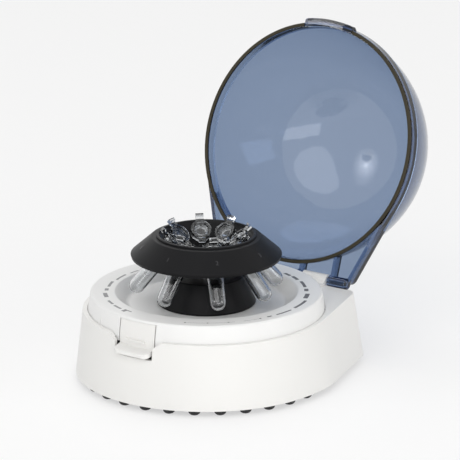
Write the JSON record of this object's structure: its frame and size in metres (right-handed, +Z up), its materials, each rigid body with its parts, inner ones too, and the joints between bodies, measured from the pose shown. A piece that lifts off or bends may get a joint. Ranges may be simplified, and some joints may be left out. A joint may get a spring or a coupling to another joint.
{
  "type": "microcentrifuge",
  "caption": "Small bench centrifuge with a domed clear lid hinged at the back, an angled rotor of capped tubes over a shallow bowl, a front latch and a round-fronted housing on small feet.",
  "frame": {"origin": "on the rotor's axis, in the bench plane under the feet", "axes": "+Z up along the rotor's axis; -Y towards the latch at the front; +Y towards the hinge; +X to the right when facing the latch"},
  "size_m": [0.1646, 0.2711, 0.202],
  "materials": {
    "white_plastic": "satin",
    "light_grey_plastic": "satin",
    "dark_grey_plastic": "matte",
    "black_plastic": "matte",
    "rotor_plastic": "satin",
    "clear_blue_plastic": "clear",
    "clear_tube_plastic": "clear",
    "black_rubber": "matte",
    "seal_rubber": "matte",
    "steel": "machined",
    "motor_steel": "satin",
    "aluminium_hub": "machined",
    "brass_pin": "polished",
    "circuit_board": "satin"
  },
  "bodies": {
    "housing": {"base_housing": "white_plastic", "top_cover": "light_grey_plastic", "base_plate": "dark_grey_plastic", "base_screws": "steel", "rubber_feet": "black_rubber", "motor_can": "motor_steel", "motor_end_cap": "black_plastic", "motor_bearings": "steel", "motor_mount_plate": "steel", "damper_grommets": "black_rubber", "mount_screws": "steel", "motor_screws": "steel", "motor_cowl": "black_plastic", "hinge_pins": "steel", "control_board": "circuit_board", "board_screws": "steel", "inlet_body": "black_plastic", "inlet_pin": "brass_pin", "switch_body": "black_plastic", "lid_switch_body": "black_plastic"},
    "drive": {"spindle": "steel", "drive_hub": "aluminium_hub", "grip_ring": "black_rubber"},
    "rotor_set": {"rotor": "rotor_plastic", "tube_1": "clear_tube_plastic", "tube_2": "clear_tube_plastic", "tube_3": "clear_tube_plastic", "tube_4": "clear_tube_plastic", "tube_5": "clear_tube_plastic", "tube_6": "clear_tube_plastic", "tube_7": "clear_tube_plastic", "tube_8": "clear_tube_plastic"},
    "lid": {"lid_dome": "clear_blue_plastic", "lid_seal": "seal_rubber"},
    "latch": {"latch_tongue": "white_plastic"},
    "rocker": {"switch_rocker": "black_plastic"},
    "plunger": {"lid_switch_plunger": "white_plastic"}
  },
  "joints": [
    {"name": "lid_hinge", "type": "hinge", "parent": "housing", "child": "lid", "pos_m": [0, 0.0834, 0.0466], "axis": [-1, 0, 0], "range_deg": [-109.2, 0]},
    {"name": "spindle_spin", "type": "hinge", "parent": "housing", "child": "drive", "pos_m": [0, 0, 0.06], "axis": [0, 0, 1], "continuous": true},
    {"name": "rotor_lift", "type": "slide", "parent": "drive", "child": "rotor_set", "axis": [0, 0, 1], "range_m": [0, 0.022]},
    {"name": "latch_flex", "type": "hinge", "parent": "housing", "child": "latch", "pos_m": [0, -0.0713, 0.0538], "axis": [1, 0, 0], "range_deg": [0, 4], "stiffness_Nm_per_rad": 0.4},
    {"name": "power_switch", "type": "hinge", "parent": "housing", "child": "rocker", "pos_m": [0.031, 0.0802, 0.021], "axis": [1, 0, 0], "range_deg": [0, 20]},
    {"name": "lid_switch_press", "type": "slide", "parent": "housing", "child": "plunger", "axis": [0, 0, -1], "range_m": [0, 0.001], "stiffness_N_per_m": 200, "springref_m": -0.001}
  ]
}
